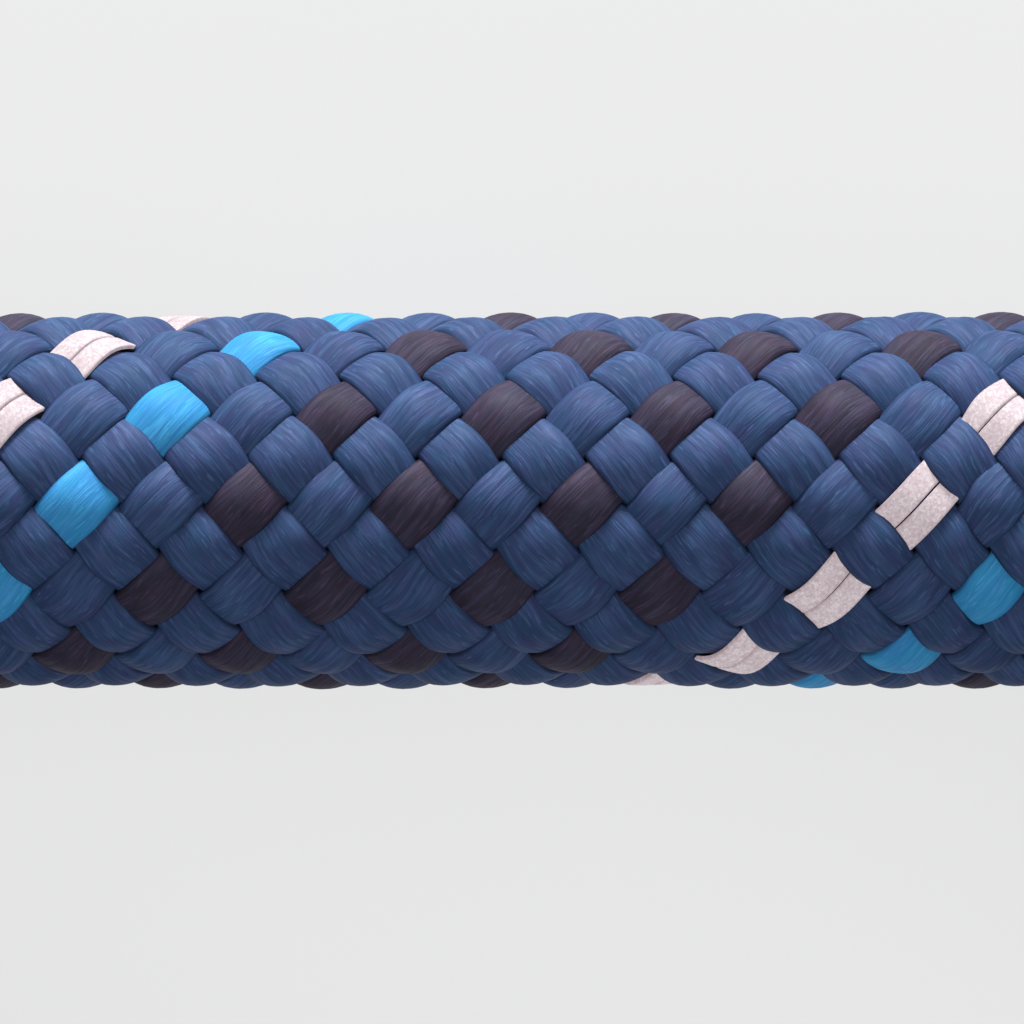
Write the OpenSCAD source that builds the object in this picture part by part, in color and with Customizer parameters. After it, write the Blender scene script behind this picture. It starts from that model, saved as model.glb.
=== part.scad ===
// Lead rope with a swivel bolt snap: a braided rope, straight near the snap and then laid in a flat coil.
// Millimetres. +X runs from the snap towards the coil, +Z is up, and the rope lies on z = 0.

/* [Rope] */
// Outside diameter of the braided rope
rope_d = 14; // [12:0.5:16]
// Diameter of the filler core inside the braided cover
core_d = 9; // [5:0.5:10]

/* [Coil] */
// Radius of the outermost turn, to the middle of the rope
coil_outer_r = 97; // [90:1:110]
// Radius of the innermost turn, to the middle of the rope
coil_inner_r = 45; // [42:1:52]
// Direction, seen from the coil's middle, where the last turn ends and the tail begins, degrees
tail_start_angle = 126; // [90:1:180]

/* [Ferrule] */
// Length of the oval ferrule that crimps the rope's two legs together
ferrule_length = 18; // [14:1:24]
// Wall thickness of the ferrule
ferrule_wall = 1.3; // [1:0.1:2]
// Depth of its crimp grooves
crimp_depth = 0.5; // [0.2:0.1:0.8]

/* [Rope ends] */
// Length of each melted and flattened rope end
seal_length = 3; // [2:0.5:6]
// Length of the twine whipping near the tail's end
whipping_length = 20; // [12:1:24]
// Thickness of the twine whipping
whipping_thickness = 1.1; // [0.8:0.1:2]

/* [Swivel eye] */
// Inside diameter of the eye that the rope passes through
eye_hole_d = 20; // [20:0.5:24]
// Thickness of the eye's wire
eye_wire_d = 5; // [4:0.5:6]
// Diameter of the shank that the snap turns on
shank_d = 6; // [5:0.5:7]

/* [Snap] */
// Outside diameter of the base that holds the swivel
base_d = 17; // [16:0.5:19]
// Outside diameter of the barrel that the bolt slides in
barrel_d = 13; // [12:0.5:15]
// Inside radius of the hook
hook_inside_r = 10; // [9:0.5:12]
// Thickness of the hook's bar
hook_wire_d = 8; // [7:0.5:9]
// How far the snap dips from the eye down to the surface, degrees
snap_pitch = 6.5; // [0:0.5:8]

/* [Bolt] */
// Diameter of the sliding bolt
bolt_d = 6.4; // [5:0.2:7]
// Travel of the bolt from closed to open
bolt_travel = 15; // [14:0.5:16]
// Diameter of the thumb knob's neck
knob_neck_d = 4; // [3:0.5:5]
// Diameter of the thumb knob's head
knob_head_d = 9; // [7:0.5:10]
// Thickness of the spring's wire
spring_wire_d = 0.7; // [0.5:0.1:0.9]

/* [Hidden] */
$fn = 64;
rope_r = rope_d / 2;
tube_sides = 12;
ring_steps = 3;                          // rings between two points of a route
slack = 0.1;                             // gap around the rope inside the ferrule and the whipping
run_fit = 0.05;                          // radial gap of a shaft that turns or slides
cut = 1;                                 // how far a cutter reaches past what it cuts
seal_root_d = rope_d - 1;
seal_tip_d = rope_d - 4;

// The eye, and the frame that the snap is drawn in: +X from the eye to the hook's tip, the hook towards -Y
eye_r = (eye_hole_d + eye_wire_d) / 2;
eye = [-88, -88.6, eye_r + eye_wire_d / 2];

// The bight's route goes from the short leg's end round the eye's wire to the ferrule's far mouth
ferrule_lift = 0.2;
leg_z = rope_r + ferrule_wall + slack + ferrule_lift;
bight_route = [
    [-22, -81.4, leg_z], [-33, -81.4, leg_z], [-44, -81.4, leg_z], [-52, -80.6, 10.5],
    [-61, -79.1, 14], [-68.5, -78.6, 15], [-75.5, -78.6, 15], [-80.5, -79.9, 15],
    [-84.2, -83.6, 15], [-85.5, -88.6, 15], [-84.2, -93.6, 15], [-80.5, -97.3, 15],
    [-75.5, -98.6, 15], [-68.5, -98.6, 15], [-61, -98.1, 14], [-52, -96.6, 10.5],
    [-44, -95.8, leg_z], [-33, -95.8, leg_z], [-25, -95.8, leg_z]
];

// The run's route goes on from there, down to the surface and straight to the coil's first turn
run_route = [
    [-25, -95.8, leg_z], [-22, -95.8, leg_z], [-17, -95.8, 7.6], [-12, -95.8, 7.1],
    [-6, -95.8, 7], [20, -95.8, 7], [48, -95.8, 7], [78.8, -95.8, 7]
];
run_end = run_route[len(run_route) - 1];
coil_centre = [run_end[0], run_end[1] + coil_outer_r, 0];
channel_gap = 0.3;                       // clear space beside the rope where it passes the coil's solid
channel_half_width = rope_r + channel_gap;

// The tail bends inwards from the end of the last turn, as steps from the coil's middle
tail_steps = [
    [-26.5, 36.5, 7], [-32, 31, 7], [-36.5, 23.5, 7], [-38.8, 14, 7], [-38, 4.5, 7], [-34, -4.5, 7],
    [-27.5, -11.5, 7.3], [-19, -16, 7.8], [-10, -17.8, 8.2], [-1, -18.2, 8.2], [8, -18, 8.2], [18, -17.6, 8.2]
];
tail_route = [for (step = tail_steps) coil_centre + step];
tail_end = tail_route[len(tail_route) - 1];
tail_heading = tail_end - tail_route[len(tail_route) - 2];
tail_notch_r = coil_inner_r + rope_r + channel_gap;
tail_notch_angle = 80;

// The ferrule round the two legs
ferrule_start = -43;
leg_gap = 14.4;
ferrule_bore_r = rope_r + slack;
crimp_width = 2.5;

// Stations along the snap, from the eye's middle: the swivel
collar_taper_end = eye_r + 3;
collar_end = collar_taper_end + 1.5;
collar_root_d = 4;
collar_d = 10;
end_play = 0.5;
base_start = collar_end + end_play;
window_start = base_start + 4.5;
window_length = 5.5;
window_width = 10.6;
washer_gap = 0.1;
washer_start = window_start + washer_gap;
washer_thickness = 0.8;
washer_end = washer_start + washer_thickness;
washer_d = 10;
head_start = washer_end + washer_gap;
head_length = 2.4;
head_d = 9;

// The barrel, the mouth and the hook, whose tip is in line with the bolt
bore_start = window_start + window_length + 2;
base_taper = 4;
barrel_end = bore_start + 40;
hook_r = hook_inside_r + hook_wire_d / 2;
hook_centre = [barrel_end + 8, -12, 0];
hook_from = 145;                         // degrees round the hook, from inside the barrel's side
hook_to = 419;
nose_length = 1;
tip_start = barrel_end + bolt_travel - nose_length;
tip_length = 6;
tip_d = 9;
tip_recess = 1.6;
mouth_d = bolt_d + 4;

// The bolt, its knob and its spring
spring_room = 6;                         // what the spring needs when it is pressed together
bolt_front = barrel_end + bolt_travel;
bolt_back = bore_start + bolt_travel + spring_room;
nose_d = bolt_d - 1.4;
spigot_d = 3.2;
spigot_length = 2;
knob_at = barrel_end - 7;
knob_gap = 0.3;
knob_base = barrel_d / 2 + knob_gap;
knob_height = 3;
knob_chamfer = 1;
slot_d = knob_neck_d + knob_gap;
spring_d = bolt_d - 0.4;
spring_turns = 8;
spring_steps = 10;
spring_sides = 8;
spring_gap = 0.4;

// A direction of length 1
function unit(v) = v / norm(v);

// A smooth curve through the points of a route
function at(route, i) =
    i < 0 ? 2 * route[0] - route[1] :
    i >= len(route) ? 2 * route[len(route) - 1] - route[len(route) - 2] :
    route[i];
function between(a, b, c, d, t) =
    b + 0.5 * t * (c - a + t * (2 * a - 5 * b + 4 * c - d + t * (3 * (b - c) + d - a)));
function curve(route) = concat(
    [for (i = [0 : len(route) - 2]) for (k = [0 : ring_steps - 1])
        between(at(route, i - 1), route[i], route[i + 1], at(route, i + 2), k / ring_steps)],
    [route[len(route) - 1]]
);

// One ring of points square to a path
function ring(path, i, r, sides) =
    let (
        ahead = unit(path[min(i + 1, len(path) - 1)] - path[max(i - 1, 0)]),
        side = unit(cross([0, 0, 1], ahead)),
        up = cross(ahead, side)
    )
    [for (k = [0 : sides - 1])
        let (a = (k + 0.5) * 360 / sides)
        path[i] + r * (cos(a) * side + sin(a) * up)];
function rings(path, r, sides) = [for (i = [0 : len(path) - 1]) each ring(path, i, r, sides)];
function skin(count, sides, first) = [
    for (i = [0 : count - 2]) for (k = [0 : sides - 1])
        let (a = first + i * sides + k, b = first + i * sides + (k + 1) % sides)
        [a, b, b + sides, a + sides]
];
function flipped(faces) = [for (face = faces) [for (k = [len(face) - 1 : -1 : 0]) face[k]]];

// A solid round tube along a path
module tube(path, r, sides) {
    last = (len(path) - 1) * sides;
    faces = concat(
        skin(len(path), sides, 0),
        [[for (k = [sides - 1 : -1 : 0]) k]],
        [[for (k = [0 : sides - 1]) last + k]]
    );
    polyhedron(rings(path, r, sides), flipped(faces));
}

// A hollow round tube along a path
module sleeve(path, outer_r, inner_r, sides) {
    count = len(path) * sides;
    last = count - sides;
    faces = concat(
        skin(len(path), sides, 0),
        flipped(skin(len(path), sides, count)),
        [for (k = [0 : sides - 1]) let (n = (k + 1) % sides) [n, k, count + k, count + n]],
        [for (k = [last : last + sides - 1])
            let (n = last + (k - last + 1) % sides)
            [k, n, count + n, count + k]]
    );
    polyhedron(concat(rings(path, outer_r, sides), rings(path, inner_r, sides)), flipped(faces));
}

// Places a child that is drawn along the snap
module along_snap() {
    translate(eye) rotate([0, -snap_pitch, 0]) rotate([0, 0, 180]) children();
}

// A rod along +X
module rod(from, to, d, d_to = 0) {
    translate([from, 0, 0]) rotate([0, 90, 0]) cylinder(h = to - from, d1 = d, d2 = d_to > 0 ? d_to : d);
}

// A rod that is oval across, round the two legs of the rope, along +X
module legs_oval(from, to, r) {
    for (y = [-leg_gap / 2, leg_gap / 2])
        translate([0, y, 0]) rod(from, to, 2 * r);
    translate([from, -leg_gap / 2, -r]) cube([to - from, leg_gap, 2 * r]);
}

// Places a child that is drawn along +X at the tail's end
module at_tail_end() {
    translate(tail_end) rotate([0, 0, atan2(tail_heading[1], tail_heading[0])]) children();
}

// Braided cover of the straight run, hollow round its core
module rope_run() {
    color("steelblue") sleeve(curve(run_route), rope_r, core_d / 2, tube_sides);
}

// Filler yarns inside the straight run
module run_core() {
    color("midnightblue") tube(curve(run_route), core_d / 2, tube_sides);
}

// The loop of rope through the eye, with both its legs
module rope_bight() {
    color("royalblue") tube(curve(bight_route), rope_r, tube_sides);
}

// Outer shape of the coiled turns, open where the run comes in and where the tail leaves
module rope_coil() {
    color("slateblue") difference() {
        translate(coil_centre) rotate_extrude() {
            translate([coil_inner_r, rope_r]) circle(r = rope_r);
            translate([coil_outer_r, rope_r]) circle(r = rope_r);
            translate([coil_inner_r, 0]) square([coil_outer_r - coil_inner_r, rope_d]);
        }
        translate([run_end[0] - coil_outer_r, run_end[1] - channel_half_width, -cut])
            cube([coil_outer_r, 2 * channel_half_width, rope_d + 2 * cut]);
        translate(coil_centre) rotate([0, 0, tail_start_angle]) rotate_extrude(angle = tail_notch_angle)
            translate([0, -cut]) square([tail_notch_r, rope_d + 2 * cut]);
    }
}

// The last length of rope, from the coil's inner turn to its tail end
module rope_tail() {
    color("cornflowerblue") tube(curve(tail_route), rope_r, tube_sides);
}

// Oval metal ferrule, crimped twice
module ferrule() {
    color("silver") translate([0, eye[1], leg_z]) difference() {
        legs_oval(ferrule_start, ferrule_start + ferrule_length, ferrule_bore_r + ferrule_wall);
        legs_oval(ferrule_start - cut, ferrule_start + ferrule_length + cut, ferrule_bore_r);
        for (third = [1, 2])
            crimp_groove(ferrule_start + third * ferrule_length / 3);
    }
}

// Cutter for one groove round the ferrule
module crimp_groove(middle) {
    difference() {
        legs_oval(middle - crimp_width / 2, middle + crimp_width / 2, ferrule_bore_r + ferrule_wall + cut);
        legs_oval(middle - crimp_width, middle + crimp_width, ferrule_bore_r + ferrule_wall - crimp_depth);
    }
}

// Melted end of the short leg
module short_end_seal() {
    color("black") translate(bight_route[0]) rod(0, seal_length, seal_root_d, seal_tip_d);
}

// Band of twine round the tail
module tail_whipping() {
    color("khaki") at_tail_end() difference() {
        rod(-whipping_length - seal_length, -seal_length, rope_d + 2 * (slack + whipping_thickness));
        rod(-whipping_length - seal_length - cut, cut - seal_length, rope_d + 2 * slack);
    }
}

// Melted end of the tail
module tail_seal() {
    color("black") at_tail_end() rod(0, seal_length, seal_root_d, seal_tip_d);
}

// Eye, collar, shank and riveted head in one forging
module swivel_eye() {
    color("lightgray") along_snap() {
        rotate([90, 0, 0]) rotate_extrude() translate([eye_r, 0]) circle(d = eye_wire_d);
        rod(eye_r, collar_taper_end, collar_root_d, collar_d);
        rod(collar_taper_end, collar_end, collar_d);
        rod(collar_end, head_start, shank_d);
        rod(head_start, head_start + head_length, head_d, shank_d);
    }
}

// Loose washer under the riveted head
module swivel_washer() {
    color("goldenrod") along_snap() difference() {
        rod(washer_start, washer_end, washer_d);
        rod(washer_start - cut, washer_end + cut, shank_d + 2 * run_fit);
    }
}

// Cast body: base with the swivel's window, barrel with its bore and knob slot, and the hook
module snap_body() {
    color("gainsboro") along_snap() difference() {
        union() {
            rod(base_start, bore_start, base_d);
            rod(bore_start, bore_start + base_taper, base_d, barrel_d);
            rod(bore_start, barrel_end, barrel_d);
            translate(hook_centre) rotate([0, 0, hook_from])
                rotate_extrude(angle = hook_to - hook_from) translate([hook_r, 0]) circle(d = hook_wire_d);
            rod(tip_start, tip_start + tip_length, tip_d);
        }
        rod(base_start - cut, window_start + cut, shank_d + 2 * run_fit);
        translate([window_start, -window_width / 2, -base_d]) cube([window_length, window_width, 2 * base_d]);
        rod(bore_start, barrel_end + cut, bolt_d + 2 * run_fit);
        rod(barrel_end, tip_start, mouth_d);
        rod(tip_start - cut, tip_start + tip_recess, bolt_d + 2 * run_fit);
        knob_slot();
    }
}

// Cutter for the slot that the knob's neck slides in
module knob_slot() {
    for (x = [knob_at - bolt_travel, knob_at])
        translate([x, 0, 0]) rotate([-90, 0, 0]) cylinder(h = barrel_d, d = slot_d);
    translate([knob_at - bolt_travel, 0, -slot_d / 2]) cube([bolt_travel, barrel_d, slot_d]);
}

// Sliding bolt with its nose, spring spigot and cross hole for the knob
module bolt() {
    color("silver") along_snap() difference() {
        union() {
            rod(bolt_back, bolt_front - nose_length, bolt_d);
            rod(bolt_front - nose_length, bolt_front, bolt_d, nose_d);
            rod(bolt_back - spigot_length, bolt_back, spigot_d);
        }
        translate([knob_at, 0, 0]) rotate([-90, 0, 0]) cylinder(h = bolt_d, d = knob_neck_d);
    }
}

// Thumb knob, pressed into the bolt
module thumb_knob() {
    rim = knob_base + knob_height - knob_chamfer;
    color("dimgray") along_snap() translate([knob_at, 0, 0]) rotate([-90, 0, 0]) {
        cylinder(h = knob_base, d = knob_neck_d);
        translate([0, 0, knob_base]) cylinder(h = rim - knob_base, d = knob_head_d);
        translate([0, 0, rim])
            cylinder(h = knob_chamfer, d1 = knob_head_d, d2 = knob_head_d - 2 * knob_chamfer);
    }
}

// Spring that pushes the bolt shut
module bolt_spring() {
    length = bolt_back - bore_start - 2 * spring_gap;
    coil_r = (spring_d - spring_wire_d) / 2;
    steps = spring_turns * spring_steps;
    helix = [for (i = [0 : steps])
        let (a = i * 360 / spring_steps)
        [coil_r * cos(a), coil_r * sin(a), spring_gap + length * i / steps]];
    color("orange") along_snap() translate([bore_start, 0, 0]) rotate([0, 90, 0])
        tube(helix, spring_wire_d / 2, spring_sides);
}

rope_run();
run_core();
rope_bight();
rope_coil();
rope_tail();
ferrule();
short_end_seal();
tail_whipping();
tail_seal();
swivel_eye();
swivel_washer();
snap_body();
bolt();
thumb_knob();
bolt_spring();
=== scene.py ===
"""Lead rope with a swivel bolt snap: the braid strand by strand, its ends, and the hardware."""
import math

import bmesh
import bpy
import numpy as np
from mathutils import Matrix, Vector


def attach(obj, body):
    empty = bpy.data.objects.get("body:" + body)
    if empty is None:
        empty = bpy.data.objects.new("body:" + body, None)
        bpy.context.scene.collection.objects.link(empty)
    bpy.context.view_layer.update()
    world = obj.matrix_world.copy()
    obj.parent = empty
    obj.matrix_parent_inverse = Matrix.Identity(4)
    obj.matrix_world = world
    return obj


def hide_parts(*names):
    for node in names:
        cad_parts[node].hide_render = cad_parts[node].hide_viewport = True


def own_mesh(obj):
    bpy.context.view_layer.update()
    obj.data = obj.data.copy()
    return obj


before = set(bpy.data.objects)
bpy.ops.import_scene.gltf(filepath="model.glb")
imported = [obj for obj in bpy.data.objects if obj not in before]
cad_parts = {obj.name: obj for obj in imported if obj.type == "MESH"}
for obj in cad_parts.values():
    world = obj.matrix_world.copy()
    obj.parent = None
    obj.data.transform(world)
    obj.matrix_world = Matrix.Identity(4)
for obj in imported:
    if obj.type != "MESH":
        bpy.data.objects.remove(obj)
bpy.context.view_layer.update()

MM = 0.001


# ---------------------------------------------------------------- the rope's measures

ROPE_R = 7 * MM
CROSSING = 3.05 * MM         # length of rope from one strand of a lay to the next
LAY_STRANDS = 12             # strands that run each way
LEAN = 0.065                 # how far the rows of crossings lean along the rope, per unit of width
STRAND_HALF_WIDTH = 1.09 * MM
STRAND_HALF_THICKNESS = 0.4 * MM
SPREAD = 0.07                # how much wider a strand spreads where it lies on top
WEAVE_DEPTH = 0.3 * MM       # how far a strand rises and dips about the braid's middle
BRAID_R = ROPE_R - STRAND_HALF_THICKNESS - WEAVE_DEPTH
ROW_TURN = 0.023             # turn of the braid about the rope, radians

TAPE_HALF_WIDTH = 0.48 * MM
TAPE_HALF_THICKNESS = 0.1 * MM
TAPE_OFFSET = 0.51 * MM
TAPE_LIFT = 0.2 * MM

# Colours of the strands that run with the right-hand lay, in order round the rope
RIGHT_LAY = ["blue", "navy", "tape", "navy"] + 4 * ["dark", "navy"]

# The routes, as the CAD model has them, in metres
LEG_Z = 0.0086
LEG_GAP = 0.0144
BIGHT_ROUTE = [
    (-0.022, -0.0814, LEG_Z), (-0.033, -0.0814, LEG_Z), (-0.044, -0.0814, LEG_Z),
    (-0.052, -0.0806, 0.0105), (-0.061, -0.0791, 0.014), (-0.0685, -0.0786, 0.015),
    (-0.0755, -0.0786, 0.015), (-0.0805, -0.0799, 0.015), (-0.0842, -0.0836, 0.015),
    (-0.0855, -0.0886, 0.015), (-0.0842, -0.0936, 0.015), (-0.0805, -0.0973, 0.015),
    (-0.0755, -0.0986, 0.015), (-0.0685, -0.0986, 0.015), (-0.061, -0.0981, 0.014),
    (-0.052, -0.0966, 0.0105), (-0.044, -0.0958, LEG_Z), (-0.033, -0.0958, LEG_Z),
    (-0.025, -0.0958, LEG_Z),
]
RUN_ROUTE = [
    (-0.025, -0.0958, LEG_Z), (-0.022, -0.0958, LEG_Z), (-0.017, -0.0958, 0.0076),
    (-0.012, -0.0958, 0.0071), (-0.006, -0.0958, 0.007), (0.02, -0.0958, 0.007),
    (0.048, -0.0958, 0.007), (0.0788, -0.0958, 0.007),
]
COIL_OUTER_R = 0.097
COIL_INNER_R = 0.045
COIL_TURNS = 3.6
TAIL_STEPS = [
    (-0.0265, 0.0365, 0.007), (-0.032, 0.031, 0.007), (-0.0365, 0.0235, 0.007), (-0.0388, 0.014, 0.007),
    (-0.038, 0.0045, 0.007), (-0.034, -0.0045, 0.007), (-0.0275, -0.0115, 0.0073), (-0.019, -0.016, 0.0078),
    (-0.01, -0.0178, 0.0082), (-0.001, -0.0182, 0.0082), (0.008, -0.018, 0.0082), (0.018, -0.0176, 0.0082),
]


# ---------------------------------------------------------------- routes

def smooth_curve(route, steps=24):
    """A smooth curve through the points of a route."""
    p = np.array(route, float)
    p = np.vstack([2 * p[0] - p[1], p, 2 * p[-1] - p[-2]])
    t = (np.arange(steps) / steps)[:, None]
    spans = [
        b + 0.5 * t * (c - a + t * (2 * a - 5 * b + 4 * c - d + t * (3 * (b - c) + d - a)))
        for a, b, c, d in zip(p[:-3], p[1:-2], p[2:-1], p[3:])
    ]
    return np.vstack(spans + [p[-2:-1]])


def coil_turns(middle):
    """The flat coil's turns, from the outermost to the innermost."""
    turn = np.linspace(0, COIL_TURNS, int(COIL_TURNS * 240) + 1)[1:-1]
    angle = 2 * math.pi * (turn - 0.25)
    r = COIL_OUTER_R + (COIL_INNER_R - COIL_OUTER_R) * turn / COIL_TURNS
    flat = np.zeros_like(turn)
    return middle + np.stack([r * np.cos(angle), r * np.sin(angle), flat], axis=1)


class Line:
    """The middle of a length of rope, with the directions ahead, aside and up at each distance along it."""

    def __init__(self, points, shift, ends_at=None):
        steps = np.linalg.norm(np.diff(points, axis=0), axis=1)
        self.at = np.concatenate([[0], np.cumsum(steps)])
        self.length = self.at[-1]
        if ends_at is not None:
            self.at += ends_at - self.length
        self.points = points
        self.shift = shift               # how far on the strands start and end
        self.ahead = self._unit(np.gradient(points, self.at, axis=0))
        self.side = self._unit(np.cross([0, 0, 1], self.ahead))
        self.up = np.cross(self.ahead, self.side)

    @staticmethod
    def _unit(v):
        return v / np.linalg.norm(v, axis=-1, keepdims=True)

    def _find(self, values, s):
        return np.stack([np.interp(s, self.at, values[:, k]) for k in range(3)], axis=-1)

    def place(self, s, turn, r):
        """Points on a row of crossings, which leans: see straight_place."""
        return self.straight_place(s + LEAN * r * np.sin(turn), turn, r)

    def straight_place(self, s, turn, r):
        """Points at distance s, turned from the top towards the side, and r from the middle."""
        s, aside, above = np.broadcast_arrays(s, r * np.sin(turn), r * np.cos(turn))
        held = np.clip(s, self.at[0], self.at[-1])
        past = (s - held)[..., None] * self._find(self.ahead, held)
        sideways = self._find(self.side, held) * aside[..., None]
        upwards = self._find(self.up, held) * above[..., None]
        return self._find(self.points, held) + past + (sideways + upwards)


# The snap's own frame: its middle is the eye's, U runs to the hook's tip, and V towards the thumb knob
EYE = np.array([-0.088, -0.0886, 0.015])
PITCH = math.radians(6.5)
SNAP_U = np.array([-math.cos(PITCH), 0, -math.sin(PITCH)])
SNAP_V = np.array([0, -1.0, 0])
SNAP_W = np.array([-math.sin(PITCH), 0, math.cos(PITCH)])
END_TUCK = 0.8 * MM          # how far the strands' ends stay inside the melted ends and the ferrule

coil_middle = np.array(RUN_ROUTE[-1]) + [0, COIL_OUTER_R, 0]
tail_route = [tuple(coil_middle + [x, y, z - RUN_ROUTE[-1][2]]) for x, y, z in TAIL_STEPS]
lead_route = np.vstack([smooth_curve(RUN_ROUTE), coil_turns(coil_middle), smooth_curve(tail_route)])
lead = Line(lead_route, -END_TUCK)
bight = Line(smooth_curve(BIGHT_ROUTE), END_TUCK, ends_at=0)


# ---------------------------------------------------------------- camera

VIEW_X = 0.006
VIEW_ASIDE = 0.423 * MM      # the middle of the view lies just off the rope's own middle
VIEW_WIDTH = 38.25 * MM
LENS, SENSOR = 200, 36
view_middle = Vector((VIEW_X, RUN_ROUTE[-1][1] + VIEW_ASIDE, RUN_ROUTE[-1][2]))
view_at = float(np.interp(VIEW_X, lead.points[:120, 0], lead.at[:120]))


def add(name, data):
    made = bpy.data.objects.new(name, data)
    bpy.context.scene.collection.objects.link(made)
    return made


def add_camera():
    data = bpy.data.cameras.new("camera")
    data.lens, data.sensor_width = LENS, SENSOR
    data.clip_start, data.clip_end = 0.01, 50
    camera = add("camera", data)
    camera.location = view_middle + Vector((0, 0, VIEW_WIDTH * LENS / SENSOR))
    camera.rotation_euler.z = math.pi        # the snap lies to the right of the view, the coil to its left
    bpy.context.scene.camera = camera


add_camera()


# ---------------------------------------------------------------- shader sums

class Shade:
    """A socket of a material's nodes, which takes part in sums as a number does."""

    def __init__(self, finish, socket):
        self.finish, self.socket = finish, socket

    def _sum(self, operation, *values):
        return self.finish.node("ShaderNodeMath", {"operation": operation}, values)

    def __add__(self, other):
        return self._sum("ADD", self, other)

    def __sub__(self, other):
        return self._sum("SUBTRACT", self, other)

    def __rsub__(self, other):
        return self._sum("SUBTRACT", other, self)

    def __mul__(self, other):
        return self._sum("MULTIPLY", self, other)

    def __truediv__(self, other):
        return self._sum("DIVIDE", self, other)

    def __abs__(self):
        return self._sum("ABSOLUTE", self)

    __radd__, __rmul__ = __add__, __mul__

    def waves(self):
        """From 0 at whole numbers to 1 halfway between them."""
        return self._sum("PINGPONG", self, 1.0)

    def over(self, low, high, to_low=0.0, to_high=1.0):
        """Rises smoothly from to_low to to_high as this goes from low to high."""
        sockets = (self, low, high, to_low, to_high)
        return self.finish.node("ShaderNodeMapRange", {"interpolation_type": "SMOOTHSTEP"}, sockets)


class Nodes:
    """A tree of nodes under construction."""

    def __init__(self, tree):
        self.tree = tree

    def node(self, kind, settings=None, values=(), output=0):
        """A node's output, from its settings and the values or links of its sockets, in order or by name."""
        made = self.tree.nodes.new(kind)
        for key, value in (settings or {}).items():
            setattr(made, key, value)
        for key, value in values.items() if isinstance(values, dict) else enumerate(values):
            self.feed(made.inputs[key], value)
        return Shade(self, made.outputs[output])

    def feed(self, socket, value):
        if isinstance(value, Shade):
            self.tree.links.new(value.socket, socket)
        else:
            socket.default_value = value

    def vector(self, x, y, z):
        return self.node("ShaderNodeCombineXYZ", None, (x, y, z))

    def at_rest(self):
        """The place of a point on its piece, in metres, which a motion of the piece doesn't change."""
        return self.node("ShaderNodeTexCoord", output="Object")

    def along(self, vector, axis):
        """How far a place lies along an axis of length 1."""
        return self.node("ShaderNodeVectorMath", {"operation": "DOT_PRODUCT"}, (vector, axis), output="Value")

    def mark(self):
        """The marks of a strand: how far across it, how far along it, and its number."""
        return self.parts(self.node("ShaderNodeAttribute", {"attribute_name": "yarn"}, output="Vector"))

    def ridges(self):
        """About 0.5 on flat stretches, and more on outer edges."""
        return self.node("ShaderNodeNewGeometry", output="Pointiness")

    def parts(self, vector):
        return [self.node("ShaderNodeSeparateXYZ", None, (vector,), output=k) for k in range(3)]

    def noise(self, vector, scale=1.0, detail=2.0, roughness=0.5):
        sockets = {"Vector": vector, "Scale": scale, "Detail": detail, "Roughness": roughness}
        return self.node("ShaderNodeTexNoise", None, sockets)

    def specks(self, vector, scale, output="Distance"):
        return self.node("ShaderNodeTexVoronoi", None, {"Vector": vector, "Scale": scale}, output)

    def mix(self, factor, a, b):
        """From colour a to colour b."""
        return self.node("ShaderNodeMix", {"data_type": "RGBA"}, {0: factor, 6: a, 7: b}, output=2)

    def bump(self, height, distance, strength=1.0):
        sockets = {"Strength": strength, "Distance": distance, "Height": height}
        return self.node("ShaderNodeBump", None, sockets)


class Finish(Nodes):
    """A material and the nodes that it is made of."""

    def __init__(self, name):
        self.material = bpy.data.materials.new(name)
        self.material.use_nodes = True
        super().__init__(self.material.node_tree)
        self.surface = self.tree.nodes["Principled BSDF"]

    def set(self, sockets):
        """Values or links for the surface's own sockets. Returns the finished material."""
        for key, value in sockets.items():
            self.feed(self.surface.inputs[key], value)
        return self.material


# ---------------------------------------------------------------- light and floor

BACKDROP = (0.847, 0.847, 0.847)
AMBIENT = 0.74               # how bright the studio is for cloth
FLOOR_REACH = 12
FLOOR_DROP = 0.2 * MM        # the floor lies just under the rope
SHADED = 0.12                # how much of the floor's brightness comes from the light that falls on it
FLOOR_LIGHT = 1.02


def add_light(name, azimuth, elevation, distance, width, height, power):
    """A soft box aimed at the middle of the view. Azimuth is turned from +X towards +Y, in degrees."""
    a, e = math.radians(azimuth), math.radians(elevation)
    towards = Vector((math.cos(a) * math.cos(e), math.sin(a) * math.cos(e), math.sin(e)))
    data = bpy.data.lights.new(name, "AREA")
    data.shape, data.size, data.size_y, data.energy = "RECTANGLE", width, height, power
    lamp = add(name, data)
    lamp.location = view_middle + towards * distance
    lamp.rotation_euler = towards.to_track_quat("Z", "Y").to_euler()
    lamp.visible_camera = False


def add_world():
    """A pale studio: even light for cloth, and for metal a bright ceiling, a dark wall and a pale horizon."""
    world = bpy.data.worlds.new("studio")
    world.use_nodes = True
    w = Nodes(world.node_tree)
    direction = w.node("ShaderNodeTexCoord", output="Generated")
    height = w.parts(direction)[2]
    drapes = w.noise(direction, scale=2.2, detail=1)
    ceiling, horizon = height.over(0.6, 0.9), height.over(0.28, 0.02)
    mirrored = ceiling * 0.8 + horizon * 0.6 + drapes.over(0.4, 0.65) * 0.35 + 0.08
    glossy = w.node("ShaderNodeLightPath", output="Is Glossy Ray")
    strength = glossy * (mirrored - AMBIENT) + AMBIENT
    lit = w.node("ShaderNodeBackground", None, {"Color": (1, 1, 1, 1), "Strength": strength})
    seen = w.node("ShaderNodeBackground", None, {"Color": (*BACKDROP, 1)})
    camera = w.node("ShaderNodeLightPath", output="Is Camera Ray")
    out = w.node("ShaderNodeMixShader", None, (camera, lit, seen))
    w.tree.links.new(out.socket, w.tree.nodes["World Output"].inputs["Surface"])
    bpy.context.scene.world = world


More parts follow.
